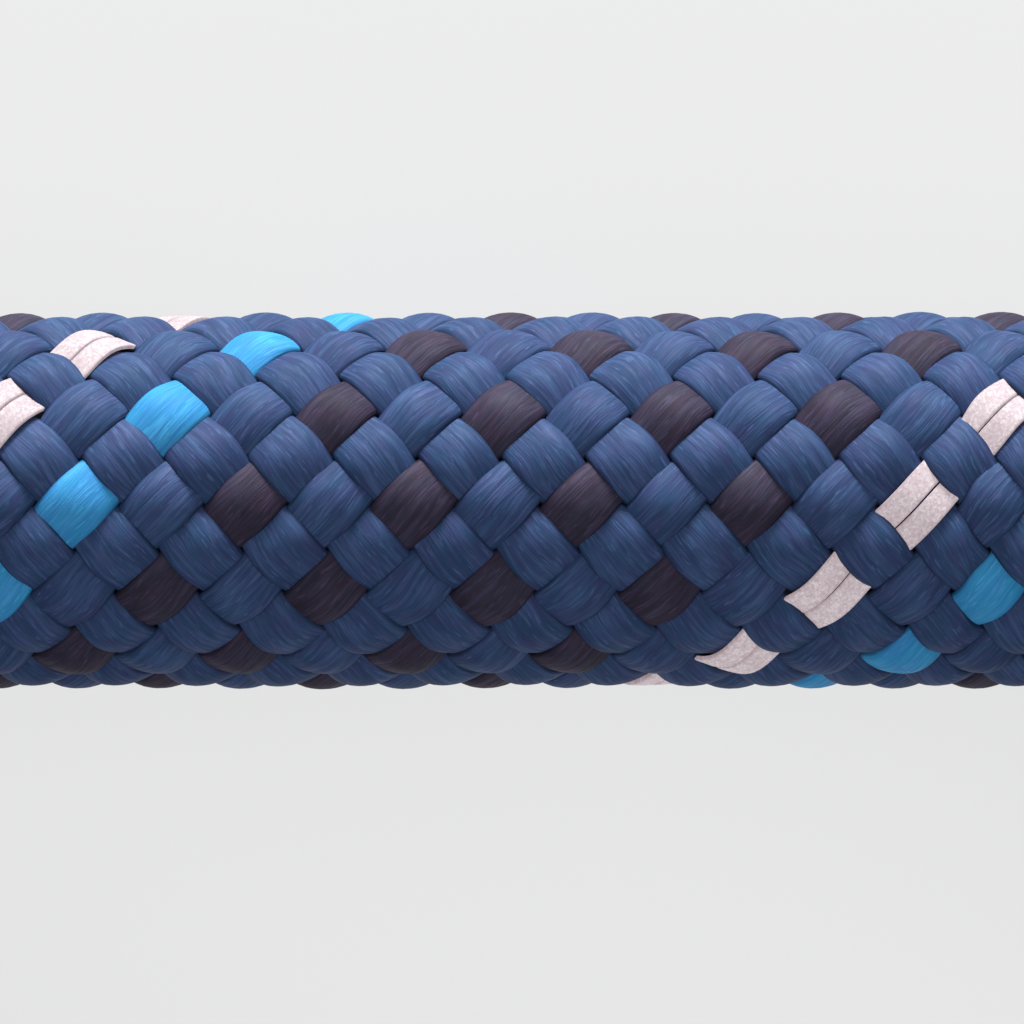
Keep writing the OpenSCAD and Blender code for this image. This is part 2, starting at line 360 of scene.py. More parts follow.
def add_floor():
    """A floor that glows like the backdrop and takes a faint shadow."""
    f = Finish("floor")
    glow = [c - SHADED * FLOOR_LIGHT for c in BACKDROP]
    f.set({
        "Base Color": (SHADED, SHADED, SHADED, 1),
        "Roughness": 1.0,
        "Specular IOR Level": 0.0,
        "Emission Color": (*glow, 1),
        "Emission Strength": 1.0,
    })
    mesh = bpy.data.meshes.new("floor")
    corners = [(x * FLOOR_REACH, y * FLOOR_REACH, 0) for x, y in ((-1, -1), (1, -1), (1, 1), (-1, 1))]
    mesh.from_pydata(corners, [], [(0, 1, 2, 3)])
    mesh.materials.append(f.material)
    floor = add("floor", mesh)
    floor.location.z = -FLOOR_DROP


add_world()
add_light("key", azimuth=-90, elevation=8, distance=6.4, width=4.8, height=1.6, power=960)
add_floor()
bpy.context.scene.view_settings.view_transform = "Standard"


# ---------------------------------------------------------------- finishes

def yarn_finish(name, deep, bright, tints):
    """Multifilament yarn: fine filaments that run along the strand, drawn up in soft bundles."""
    f = Finish(name)
    across, along, number = f.mark()
    lift = f.node("ShaderNodeAttribute", {"attribute_name": "lift"}, output="Fac")
    drift = f.noise(f.vector(across * 0.9, along * 0.3, number), detail=1)
    fibres = f.noise(f.vector(across * 7 + drift * 4, along * 0.5, number), detail=2, roughness=0.6)
    filaments = f.noise(f.vector(across * 19 + drift * 9, along * 0.55, number), detail=2, roughness=0.7)
    # painted highlights: short bright glints along the filaments, lightening the yarn's colour
    painted_glints = f.noise(f.vector(across * 13 + drift * 7, along * 1.5, number + 40), detail=1, roughness=0.6)
    patches = f.noise(f.vector(across * 0.9, along * 0.8, number), detail=2)
    dye = f.noise(f.vector(across * 2.4, along * 0.9, number + 80), detail=2, roughness=0.6)
    light = (fibres - 0.5) * 1.7 + (filaments - 0.5) * 1.5 + (patches - 0.5) * 0.9
    light = light + painted_glints.over(0.6, 0.78) * 1.1 + 0.45
    # painted shade: darker at the strand's edges and where it dips under the crossing strand
    shadow = abs(across).over(0.86, 1.0) * 0.6 + lift.over(-0.05, -0.5) * 0.7
    tint = f.mix(dye.over(0.3, 0.7), (*tints[0], 1), (*tints[1], 1))
    tone = f.mix(light.over(0, 1.3), (*deep, 1), (*bright, 1))
    dyed = f.mix(0.36, tone, tint)
    return f.set({
        "Base Color": f.mix(shadow, dyed, (*[c * 0.2 for c in deep], 1)),
        "Roughness": 0.8 - fibres * 0.3,
        "Normal": f.bump(fibres * 0.6 + filaments * 0.4, 0.07 * MM, 0.7),
        "Specular IOR Level": 0.15,
    })


def tape_finish(name):
    """Flat reflective tape: a fine scatter of bright glass beads on a pinkish-silver ground, and a painted
    glow that stands in for the light its beads send back.
    """
    f = Finish(name)
    across, along, number = f.mark()
    place = f.vector(across * TAPE_HALF_WIDTH / MM, along, number)
    bead = f.parts(f.specks(place, 14, "Color"))[0]
    grain = f.noise(place, scale=7, detail=3, roughness=0.7)
    worn = f.noise(place, scale=0.7, detail=2)
    ground = f.mix(grain.over(0.2, 0.8), (0.56, 0.42, 0.46, 1), (0.78, 0.69, 0.73, 1))
    beaded = f.mix(bead.over(0.6, 0.95) * 0.45, ground, (0.95, 0.90, 0.93, 1))
    # grime in patches, and painted shade darker towards the tape's edges
    grime_and_edge_shade = worn.over(0.5, 0.8) * 0.3 + abs(across).over(0.75, 1.0) * 0.35
    darkened = f.mix(grime_and_edge_shade, beaded, (0.38, 0.27, 0.30, 1))
    return f.set({
        # painted light: the base colour is darkened, and an even glow of the tape's colour stands in for the
        # light its beads send back
        "Base Color": f.mix(0.66, darkened, (0.02, 0.02, 0.02, 1)),
        "Roughness": 0.7 - bead * 0.2,
        "Emission Color": f.mix(0.42, (0, 0, 0, 1), darkened),
        "Emission Strength": 1.2,
        "Normal": f.bump(bead * 0.5 + grain * 0.5, 0.02 * MM, 0.5),
        "Specular IOR Level": 0.3,
    })


def shaded_filler_finish(name):
    """Spun filler yarns inside the braid, coloured near-black as painted shade, so that gaps between the
    strands look shadowed.
    """
    f = Finish(name)
    spun = f.noise(f.at_rest(), scale=900, detail=2)
    # painted shade: near-black, so the gaps between strands read as shadow
    tone = f.mix(spun, (0.01, 0.012, 0.02, 1), (0.04, 0.045, 0.06, 1))
    return f.set({"Base Color": tone, "Roughness": 0.9})


def melt_finish(name):
    """Strand ends melted into one glassy lump, streaked with the colours that went into it."""
    f = Finish(name)
    place = f.at_rest()
    flow = f.noise(place, scale=260, detail=3, roughness=0.6)
    streaks = f.noise(place, scale=520, detail=2)
    lumps = f.noise(place, scale=700, detail=2)
    ash = f.noise(place, scale=1500, detail=3)
    ground = f.mix(flow.over(0.35, 0.65), (0.006, 0.008, 0.016, 1), (0.014, 0.022, 0.055, 1))
    streaked = f.mix(streaks.over(0.6, 0.72) * 0.7, ground, (0.02, 0.11, 0.24, 1))
    return f.set({
        "Base Color": f.mix(ash.over(0.55, 0.75) * 0.35, streaked, (0.10, 0.10, 0.11, 1)),
        "Roughness": 0.38 + ash * 0.35,
        "Normal": f.bump(lumps * 0.7 + ash * 0.3, 0.25 * MM, 0.7),
        "Specular IOR Level": 0.35,
    })


def twine_finish(name):
    """Waxed three-ply twine."""
    f = Finish(name)
    around, along, turn = f.mark()
    plies = (around * 3 + along * 1.1).waves()
    fibre = f.noise(f.vector(around * 9 + along * 3, along * 0.7, turn), detail=2, roughness=0.6)
    grime = f.noise(f.at_rest(), scale=300, detail=2)
    # painted shade: darker in the grooves between the plies
    light = plies * 0.5 + (fibre - 0.5) * 0.9 + (grime - 0.5) * 0.5 + 0.1
    return f.set({
        "Base Color": f.mix(light.over(0, 1), (0.004, 0.005, 0.010, 1), (0.045, 0.052, 0.080, 1)),
        "Roughness": 0.62 - plies * 0.15,
        "Normal": f.bump(plies * 0.7 + fibre * 0.3, 0.16 * MM, 0.9),
        "Sheen Weight": 0.15,
    })


def cast_finish(name, parting=None):
    """Die casting under satin nickel: faint orange peel, rubbed edges, and painted shade, a dull dark grey in
    the hollows.
    """
    f = Finish(name)
    place = f.at_rest()
    clouds = f.noise(place, scale=110, detail=3, roughness=0.6)
    peel = f.noise(place, scale=1300, detail=2)
    u, v, w = (f.along(place, axis) for axis in (SNAP_U, SNAP_V, SNAP_W))
    scuffs = f.noise(f.vector(u * 260, v * 2600, w * 2600), detail=3, roughness=0.7)
    edge = f.ridges()
    rubbed = edge.over(0.54, 0.64)
    # painted shade: darker grey in the hollows
    hollow_shade = edge.over(0.49, 0.42)
    plated = f.mix(clouds.over(0.3, 0.7), (0.46, 0.445, 0.42, 1), (0.62, 0.605, 0.575, 1))
    darkened = f.mix(hollow_shade * 0.7, plated, (0.13, 0.125, 0.12, 1))
    height = peel * 0.5 + scuffs * 0.5
    if parting:
        seam = abs(w - parting).over(0.35 * MM, 0.0)
        height = height + seam * 2.5
    return f.set({
        "Base Color": f.mix(rubbed * 0.8, darkened, (0.80, 0.77, 0.71, 1)),
        "Metallic": 1.0,
        "Roughness": 0.30 + clouds * 0.14 + scuffs.over(0.5, 0.8) * 0.15 - rubbed * 0.12,
        "Normal": f.bump(height, 0.05 * MM, 0.6),
    })


def crimp_finish(name):
    """Soft aluminium, drawn along its length; its hollows, such as the die's grooves, are rougher from the
    die's bite and darker as painted shade.
    """
    f = Finish(name)
    place = f.at_rest()
    x, y, z = f.parts(place)
    drawn = f.noise(f.vector(x * 120, y * 3800, z * 3800), detail=3, roughness=0.7)
    nicks = f.noise(place, scale=900, detail=3, roughness=0.8)
    clouds = f.noise(place, scale=160, detail=2)
    # hollows, such as the die's grooves: rougher from the die's bite, and darker as painted shade
    bite_and_shade = f.ridges().over(0.495, 0.45)
    rubbed = f.ridges().over(0.52, 0.58)
    ground = f.mix(clouds.over(0.3, 0.7), (0.50, 0.50, 0.49, 1), (0.66, 0.655, 0.64, 1))
    nicks_and_shade = f.mix(nicks.over(0.62, 0.75) * 0.5 + bite_and_shade * 0.4, ground, (0.24, 0.24, 0.235, 1))
    return f.set({
        "Base Color": f.mix(rubbed * 0.6, nicks_and_shade, (0.82, 0.81, 0.79, 1)),
        "Metallic": 1.0,
        "Roughness": 0.36 + drawn * 0.22 + bite_and_shade * 0.15,
        "Normal": f.bump(drawn * 0.5 + nicks * 0.5, 0.06 * MM, 0.6),
    })


def turned_finish(name, low, high, roughness):
    """Bar that was turned on a lathe and has slid since: rings round it, and bright streaks along it."""
    f = Finish(name)
    place = f.at_rest()
    u, v, w = (f.along(place, axis) for axis in (SNAP_U, SNAP_V, SNAP_W))
    rings = f.noise(f.vector(u * 5200, v * 60, w * 60), detail=2, roughness=0.7)
    slid = f.noise(f.vector(u * 90, v * 2600, w * 2600), detail=2, roughness=0.6)
    spots = f.noise(place, scale=700, detail=3)
    tone = f.mix(slid.over(0.35, 0.7), (*low, 1), (*high, 1))
    return f.set({
        "Base Color": f.mix(spots.over(0.62, 0.75) * 0.5, tone, (*[c * 0.45 for c in low], 1)),
        "Metallic": 1.0,
        "Roughness": roughness + rings * 0.12 - slid.over(0.5, 0.8) * 0.08,
        "Normal": f.bump(rings * 0.6 + slid * 0.4, 0.02 * MM, 0.5),
    })


YARN = {
    "navy": yarn_finish(
        "navy_yarn", (0.014, 0.031, 0.090), (0.052, 0.100, 0.225),
        ((0.015, 0.054, 0.122), (0.037, 0.041, 0.128))),
    "dark": yarn_finish(
        "dark_yarn", (0.015, 0.012, 0.026), (0.047, 0.044, 0.090),
        ((0.017, 0.017, 0.030), (0.046, 0.022, 0.046))),
    "blue": yarn_finish(
        "blue_yarn", (0.022, 0.18, 0.40), (0.060, 0.34, 0.62), ((0.015, 0.26, 0.50), (0.035, 0.20, 0.52))),
    "tape": tape_finish("reflective_tape"),
}


# ---------------------------------------------------------------- the braid

def section(half_width, half_thickness, sides, squareness):
    """Points round a strand: offsets across it and out from the rope."""
    angle = 2 * math.pi * (np.arange(sides) + 0.5) / sides
    c, s = np.cos(angle), np.sin(angle)
    across = half_width * np.sign(c) * abs(c) ** squareness
    return across, half_thickness * np.sign(s) * abs(s) ** squareness


def weave(turns):
    """Height of a right-hand strand about the braid's middle, from 1 on top to -1 underneath."""
    return np.cos(2 * math.pi * turns)


PATCH_MARGIN = 0.06          # bare rim of a map's patch, as a share of it


class Piece:
    """Strips of mesh that together make one piece."""

    def __init__(self):
        self.points, self.faces, self.marks, self.lifts, self.patches = [], [], [], [], []
        self.count, self.patch_count = 0, 0

    def strip(self, points, marks, lift, patch_rings):
        """Adds a tube, given as rings of points, with the marks that its finish reads.

        So many rings share one patch of the map named OFBake."""
        rings, sides = points.shape[:2]
        ring, side = np.meshgrid(np.arange(rings - 1), np.arange(sides), indexing="ij")
        here, after = ring * sides + side, ring * sides + (side + 1) % sides
        faces = np.stack([here, after, after + sides, here + sides], axis=-1)
        self.faces.append(self.count + faces.reshape(-1, 4))
        low, patch = ring % patch_rings, ring // patch_rings + self.patch_count
        u = np.stack([side, side + 1, side + 1, side], axis=-1) / sides
        v = np.stack([low, low, low + 1, low + 1], axis=-1) / patch_rings
        patches = np.stack([u, v, np.repeat(patch[..., None], 4, axis=-1)], axis=-1)
        self.patches.append(patches.reshape(-1, 3))
        self.points.append(points.reshape(-1, 3))
        self.marks.append(marks.reshape(-1, 3))
        self.lifts.append(np.broadcast_to(lift, points.shape[:2]).ravel())
        self.count += rings * sides
        self.patch_count = int(patch.max()) + 1

    def build(self, name, material, slot, body="rope"):
        mesh = bpy.data.meshes.new(name)
        points, faces = np.concatenate(self.points), np.concatenate(self.faces)
        mesh.vertices.add(len(points))
        mesh.vertices.foreach_set("co", points.ravel())
        mesh.loops.add(faces.size)
        mesh.loops.foreach_set("vertex_index", faces.ravel())
        mesh.polygons.add(len(faces))
        mesh.polygons.foreach_set("loop_start", np.arange(0, faces.size, 4))
        mesh.polygons.foreach_set("use_smooth", np.ones(len(faces), bool))
        u, v, patch = np.concatenate(self.patches).T
        across = math.ceil(math.sqrt(self.patch_count))
        u = (patch % across + PATCH_MARGIN + u * (1 - 2 * PATCH_MARGIN)) / across
        v = (patch // across + PATCH_MARGIN + v * (1 - 2 * PATCH_MARGIN)) / across
        mesh.uv_layers.new(name="OFBake").data.foreach_set("uv", np.stack([u, v], axis=-1).ravel())
        yarn = mesh.attributes.new("yarn", "FLOAT_VECTOR", "POINT")
        yarn.data.foreach_set("vector", np.concatenate(self.marks).ravel())
        lift = mesh.attributes.new("lift", "FLOAT", "POINT")
        lift.data.foreach_set("value", np.concatenate(self.lifts))
        mesh.update(calc_edges=True)
        mesh.materials.append(material)
        made = add(name, mesh)
        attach(made, body)
        return made


def strand(line, lay, order, start, stop, rings, sides, tape=0):
    """One strand from start to stop along the line, as rings of points and their marks."""
    s = np.linspace(start, stop, int(round((stop - start) / CROSSING * rings)) + 1)
    turns = (s - braid_from) / CROSSING
    number = order * 1.37 + lay * 0.31 + 20
    if tape:
        across, out = section(TAPE_HALF_WIDTH, TAPE_HALF_THICKNESS, sides, 0.35)
        local, uneven = across / TAPE_HALF_WIDTH, np.ones_like(s)
        across, out = across + tape * TAPE_OFFSET, out + TAPE_LIFT
    else:
        across, out = section(STRAND_HALF_WIDTH, STRAND_HALF_THICKNESS, sides, 1)
        local = across / STRAND_HALF_WIDTH
        uneven = 1 + 0.04 * np.sin(turns * 0.83 + number * 5) + 0.03 * np.sin(turns * 2.9 + number * 3)
        uneven += SPREAD * lay * weave(turns)
    twist = lay * 2 * math.pi / LAY_STRANDS
    lift = lay * weave(turns)[:, None]
    middle = BRAID_R + WEAVE_DEPTH * lift
    steep = np.arctan(twist / CROSSING * middle)
    across, out = across * uneven[:, None], out * uneven[:, None]
    turn = ROW_TURN + twist * (turns[:, None] - order) + across * np.cos(steep) / middle
    points = line.place(s[:, None] - across * np.sin(steep), turn, middle + out)
    marks = np.stack(np.broadcast_arrays(local, s[:, None] / MM * 1.5, number + 7 * tape), axis=-1)
    return points, marks, lift


def lies_under(lay, s):
    """The distance nearest to s at which a strand of this lay lies under another."""
    shift = 0.5 if lay > 0 else 0
    return braid_from + CROSSING * (round((s - braid_from) / CROSSING - shift) + shift)


def braid(line, strands, close_up=None):
    """The strands, each (lay, order, tape), as one piece: finer where it is seen close up."""
    piece = Piece()
    for lay, order, tape in strands:
        ends = [line.at[0] + line.shift, line.at[-1] + line.shift]
        if close_up:
            near = [lies_under(lay, s) for s in close_up]
            lengths = [(ends[0], near[0], *PLAIN), (*near, *FINE), (near[1], ends[1], *PLAIN)]
        else:
            lengths = [(*ends, *PLAIN)]
        for start, stop, rings, sides in lengths:
            piece.strip(*strand(line, lay, order, start, stop, rings, sides, tape), rings)
    return piece


braid_from = view_at + 0.5 * MM + 5 * CROSSING
PLAIN = (6, 8)               # rings a crossing and points round a strand
FINE = (20, 28)
CLOSE_UP_REACH = 26 * MM     # the finer braid goes a little past the view on either side
CLOSE_UP = (view_at - CLOSE_UP_REACH, view_at + CLOSE_UP_REACH)

LEFT = [(-1, k, 0) for k in range(LAY_STRANDS)]
RIGHT = {colour: [(1, k, 0) for k in range(LAY_STRANDS) if RIGHT_LAY[k] == colour] for colour in YARN}
TAPES = [(1, k, side) for _, k, _ in RIGHT["tape"] for side in (-1, 1)]


def strand_groups(size):
    """(name, colour, strands) of each piece of braid, with at most so many strands in a piece."""
    groups = []
    for name, colour, strands in (
        ("left_lay_navy", "navy", LEFT), ("right_lay_navy", "navy", RIGHT["navy"]),
        ("right_lay_dark", "dark", RIGHT["dark"]), ("tracer_blue", "blue", RIGHT["blue"]),
    ):
        for k in range(0, len(strands), size):
            groups.append((f"{name}_{k // size + 1}", colour, strands[k:k + size]))
    return groups + [(f"reflective_tape_{k + 1}", "tape", [tape]) for k, tape in enumerate(TAPES)]


def core(line, name):
    """The filler yarns inside the braid."""
    s = np.arange(line.at[0], line.at[-1], 3 * MM)[:, None]
    turn = np.linspace(0, 2 * math.pi, 16, endpoint=False)[None, :]
    points = line.place(s, turn, np.full((1, 16), CORE_R))
    marks = np.stack(np.broadcast_arrays(turn, s / MM, 1.0), axis=-1)
    piece = Piece()
    piece.strip(points, marks, 1.0, 8)
    return piece.build(name, SHADED_FILLER, "rope_core")


CORE_R = BRAID_R - WEAVE_DEPTH - STRAND_HALF_THICKNESS * 0.6
SHADED_FILLER = shaded_filler_finish("filler_yarns_in_painted_shade")

lead_braid = [
    braid(lead, strands, CLOSE_UP).build("lead_" + name, YARN[colour], "rope_cover")
    for name, colour, strands in strand_groups(2)
]
bight_braid = [
    braid(bight, strands).build("bight_" + name, YARN[colour], "rope_cover")
    for name, colour, strands in strand_groups(12)
]
lead_core = core(lead, "lead_core")
bight_core = core(bight, "bight_core")
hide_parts("rope_run", "rope_coil", "rope_tail")
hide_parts("rope_bight")
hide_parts("run_core")


# ---------------------------------------------------------------- whipping and melted ends

TWINE_R = 0.55 * MM
WHIPPING_LENGTH, SEAL_LENGTH = 20 * MM, 3 * MM
MELT = melt_finish("melted_strand_ends")


def whipping(line):
    """Twine wound round the rope near its end, turn beside turn, with both its ends tucked in."""
    turns = WHIPPING_LENGTH / (2 * TWINE_R)
    t = np.linspace(0, turns, int(turns * 40) + 1)[:, None]
    first = line.at[-1] - SEAL_LENGTH - WHIPPING_LENGTH + TWINE_R
    s = first + t / turns * (WHIPPING_LENGTH - 2 * TWINE_R)
    tuck = np.clip(1 - np.minimum(t, turns - t) / 0.3, 0, 1)
    uneven = 0.06 * np.sin(t * 2.3) + 0.05 * np.sin(t * 5.1 + 1)
    middle = ROPE_R + TWINE_R * (1 + 0.1 * uneven) - tuck * 2 * TWINE_R
    around = np.linspace(0, 2 * math.pi, 12, endpoint=False)[None, :]
    s, r = s + TWINE_R * np.sin(around), middle + TWINE_R * np.cos(around)
    points = line.straight_place(s, 2 * math.pi * t, r)
    along = t * 2 * math.pi * ROPE_R / MM / 2
    marks = np.stack(np.broadcast_arrays(around / (2 * math.pi), along, 1.0), axis=-1)
    piece = Piece()
    piece.strip(points, marks, 1.0, 40)
    return piece.build("whipping", twine_finish("waxed_twine"), "whipping_twine")


def melted_end(name, line, at, way):
    """The strands' ends, melted into a lump with a sunken middle."""
    profile = np.array([
        (-1.9, 6.3), (-1.5, 7.0), (-0.8, 7.1), (0, 7.0), (0.7, 6.85), (1.4, 6.6), (2.1, 6.1),
        (2.6, 5.4), (2.85, 4.6), (2.8, 3.7), (2.5, 2.7), (2.2, 1.6), (2.1, 0.7), (2.1, 0.02),
    ]) * MM
    fine = np.linspace(0, len(profile) - 1, 61)
    x, r = (np.interp(fine, range(len(profile)), profile[:, k])[:, None] for k in (0, 1))
    turn = np.linspace(0, 2 * math.pi, 144, endpoint=False)[None, :]
    body = np.clip(r / (6 * MM), 0, 1)
    lobes = 0.035 * abs(np.cos(LAY_STRANDS * turn))
    lobes = lobes + 0.03 * np.sin(3 * turn + 1) + 0.02 * np.sin(7 * turn + x * 900)
    r = r * (1 + body * (lobes - 0.03))
    x = x + body * MM * (0.25 * np.sin(2 * turn + 2) + 0.14 * np.sin(5 * turn + r * 1500))
    points = line.straight_place(at + way * np.minimum(x, SEAL_LENGTH), turn, r)
    piece = Piece()
    piece.strip(points, np.zeros(points.shape), 1.0, 60)
    return piece.build(name, MELT, "melted_end")


tail_wrap = whipping(lead)
tail_melt = melted_end("tail_melted_end", lead, lead.at[-1], 1)
short_melt = melted_end("short_leg_melted_end", bight, bight.at[0], -1)
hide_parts("tail_whipping")
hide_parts("tail_seal")
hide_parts("short_end_seal")


# ---------------------------------------------------------------- hardware

# Stations along the snap, from the eye's middle, as the CAD model has them
BASE_START, WINDOW_START, WINDOW_END, BORE_START = 17.5 * MM, 22 * MM, 27.5 * MM, 29.5 * MM
BARREL_END, TIP_START, TIP_END = 69.5 * MM, 83.5 * MM, 89.5 * MM
BASE_R, BARREL_R, BORE_R, SHANK_HOLE_R, TIP_R = 8.5 * MM, 6.5 * MM, 3.25 * MM, 3.05 * MM, 4.5 * MM
HOOK_MIDDLE, HOOK_R, HOOK_BAR_R = (77.5 * MM, -12 * MM), 14 * MM, 4 * MM
KNOB_AT, KNOB_TRAVEL, SLOT_R = 62.5 * MM, 15 * MM, 2.15 * MM
HOOK_BEND = (145, 419)       # from the barrel round to the tip, degrees
WINDOW_R, SHOULDER = 5.3 * MM, 4 * MM
APART = 0.03 * MM            # keeps the faces of two cuts from falling together
EYE_R, EYE_WIRE_R = 12.5 * MM, 2.5 * MM
BOLT_SHOULDER, SPRING_GAP = 50.5 * MM, 0.4 * MM
SPRING_R, SPRING_WIRE_R, SPRING_TURNS = 2.65 * MM, 0.35 * MM, 8


def on_snap(u, v, w):
    """Places in the snap's own frame: u from the eye to the hook, v towards the thumb knob, w up."""
    u, v, w = (c[..., None] for c in np.broadcast_arrays(u, v, w))
    return EYE + SNAP_U * u + SNAP_V * v + SNAP_W * w


def round_solid(profile, place=on_snap, sides=96):
    """Rings of a solid that is round about a line, from its profile of places along the line and radii."""
    x, r = (np.array([point[k] for point in profile])[:, None] for k in (0, 1))
    turn = np.linspace(0, 2 * math.pi, sides, endpoint=False)[None, :]
    return place(x, r * np.cos(turn), r * np.sin(turn))


def rod(start, stop, r):
    return round_solid([(start, r), (stop, r)])


def block(low, high):
    """Rings of a box between two corners in the snap's frame."""
    (u0, v0, w0), (u1, v1, w1) = low, high
    corners = np.array([(v0, w0), (v1, w0), (v1, w1), (v0, w1)])
    return np.stack([on_snap(np.full(4, u), corners[:, 0], corners[:, 1]) for u in (u0, u1)])


def bent_bar(middle, r, bar_r, start, stop, plane):
    """Rings of a round bar bent on an arc, from start to stop in degrees."""
    bend = np.radians(np.linspace(start, stop, int((stop - start) / 2) + 1))[:, None]
    turn = np.linspace(0, 2 * math.pi, 64, endpoint=False)[None, :]
    reach = r + bar_r * np.cos(turn)
    a, b = middle[0] + reach * np.cos(bend), middle[1] + reach * np.sin(bend)
    return plane(a, b, bar_r * np.sin(turn))


def shell(rings):
    """A closed mesh object from rings of points."""
    count, sides = rings.shape[:2]
    ring, side = (c.ravel() for c in np.meshgrid(np.arange(count - 1), np.arange(sides), indexing="ij"))
    here, after = ring * sides + side, ring * sides + (side + 1) % sides
    faces = np.stack([here, after, after + sides, here + sides], axis=1).tolist()
    faces += [list(range(sides))[::-1], list(range((count - 1) * sides, count * sides))]
    mesh = bpy.data.meshes.new("shell")
    mesh.from_pydata(rings.reshape(-1, 3).tolist(), [], faces)
    work = bmesh.new()
    work.from_mesh(mesh)
    bmesh.ops.recalc_face_normals(work, faces=work.faces)
    work.to_mesh(mesh)
    work.free()
    return add("shell", mesh)


def cast(name, node, first, joined, cut, voxel, passes, material, body):
    """One piece of metal: shells joined and cut, then rounded as casting and handling leave it."""
    made = shell(first)
    made.name = name
    others = [(shell(rings), "UNION") for rings in joined] + [(shell(rings), "DIFFERENCE") for rings in cut]
    for other, operation in others:
        step = made.modifiers.new(operation, "BOOLEAN")
        step.object, step.operation, step.solver = other, operation, "EXACT"
    remesh = made.modifiers.new("even_skin", "REMESH")
    remesh.mode, remesh.voxel_size, remesh.use_smooth_shade = "VOXEL", voxel, True
    smooth = made.modifiers.new("rounded", "SMOOTH")
    smooth.factor, smooth.iterations = 0.5, passes
    graph = bpy.context.evaluated_depsgraph_get()
    mesh = bpy.data.meshes.new_from_object(made.evaluated_get(graph))
    made.modifiers.clear()
    for other, _ in others:
        bpy.data.objects.remove(other)
    made.data = mesh
    mesh.materials.clear()
    mesh.materials.append(material)
    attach(made, body)
    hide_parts(node)


def turned(name, node, rings, material, slot, body):
    """One piece turned on a lathe, from its rings of points."""
    piece = Piece()
    piece.strip(rings, np.zeros(rings.shape), 1.0, 20)
    made = piece.build(name, material, slot, body)
    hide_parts(node)
    return made


def cast_snap():
    barrel = [
        (BASE_START, BASE_R), (BORE_START, BASE_R),
        (BORE_START + SHOULDER, BARREL_R), (BARREL_END, BARREL_R),
    ]
    hook = bent_bar(HOOK_MIDDLE, HOOK_R, HOOK_BAR_R, *HOOK_BEND, on_snap)
    slot_back = KNOB_AT - KNOB_TRAVEL
    drilled = [
        round_solid([(MM, SLOT_R), (2 * BARREL_R, SLOT_R)], lambda x, a, b, u=u: on_snap(u + a, x, b))
        for u in (slot_back, KNOB_AT)
    ]
    cast(
        "cast_snap", "snap_body", round_solid(barrel), joined=[hook, rod(TIP_START, TIP_END, TIP_R)],
        cut=[
            rod(BASE_START - MM, WINDOW_START + MM, SHANK_HOLE_R),
            block((WINDOW_START, -WINDOW_R, -2 * BASE_R), (WINDOW_END, WINDOW_R, 2 * BASE_R)),
            rod(BORE_START, BARREL_END + MM, BORE_R),
            rod(BARREL_END + APART, TIP_START - APART, BORE_R + 2 * MM),
            rod(TIP_START - 0.5 * MM, TIP_START + 1.6 * MM, BORE_R - APART),
            *drilled,
            block((slot_back, 0.5 * MM, -0.99 * SLOT_R), (KNOB_AT, 2.1 * BARREL_R, 0.99 * SLOT_R)),
        ],
        voxel=0.3 * MM, passes=10,
        material=cast_finish("cast_snap_metal", parting=float(np.dot(EYE, SNAP_W))),
        body="snap",
    )


def eye_arc(start, stop):
    """Part of the eye's ring, which stands upright."""
    return bent_bar((0, 0), EYE_R, EYE_WIRE_R, start, stop, lambda a, b, c: on_snap(a, c, b))


def forged_eye():
    shank = np.array([
        (10.8, 1.5), (12.5, 2.6), (13.8, 2.7), (14.6, 3.3), (15.4, 4.7), (15.9, 5), (16.8, 5), (17, 4.8),
        (17, 3), (23, 3), (23, 4.5), (23.6, 4.5), (24.8, 3.7), (25.4, 2.6),
    ]) * MM
    cast(
        "forged_eye", "swivel_eye", eye_arc(90, 444), joined=[round_solid(shank), eye_arc(80, 94)], cut=[],
        voxel=0.22 * MM, passes=8, material=cast_finish("forged_eye_metal"),
        body="swivel",
    )


def crimped_ferrule():
    """An oval sleeve round the rope's two legs, pinched between them and grooved twice by the die."""
    start, stop, inner, outer, lip = -43 * MM, -25 * MM, 7.1 * MM, 8.4 * MM, 0.35 * MM
    grooves = [start + (stop - start) * part for part in (1 / 3, 2 / 3)]
    x = np.linspace(start + lip, stop - lip, 90)
    pressed = sum(np.exp(-((x - groove) / (1.0 * MM)) ** 4) for groove in grooves)
    profile = [(start, inner + lip), (start + 0.1 * MM, outer - lip)]
    profile += list(zip(x, outer - 0.5 * MM * pressed))
    profile += [(stop - 0.1 * MM, outer - lip), (stop, inner + lip)]
    profile += [(stop - lip, inner), (start + lip, inner)]
    profile += profile[:1]
    x, r = (np.array([point[k] for point in profile])[:, None] for k in (0, 1))
    half = np.linspace(-math.pi / 2, math.pi / 2, 40)
    flat = np.linspace(1, -1, 22)[1:-1]
    level, end = np.full_like(flat, math.pi / 2), np.ones_like(half)
    turn = np.concatenate([half, level, half + math.pi, -level])[None, :]
    aside = np.concatenate([end, flat, -end, -flat])[None, :] * LEG_GAP / 2
    y = r * np.cos(turn) + aside
    pinch = 1 - 0.11 * np.exp(-(y / (3.6 * MM)) ** 2)
    z = r * np.sin(turn) * pinch
    rings = np.stack(np.broadcast_arrays(x, EYE[1] + y, LEG_Z + z), axis=-1)
    finish = crimp_finish("crimped_aluminium")
    turned("crimped_ferrule", "ferrule", rings, finish, "ferrule_metal", "rope")


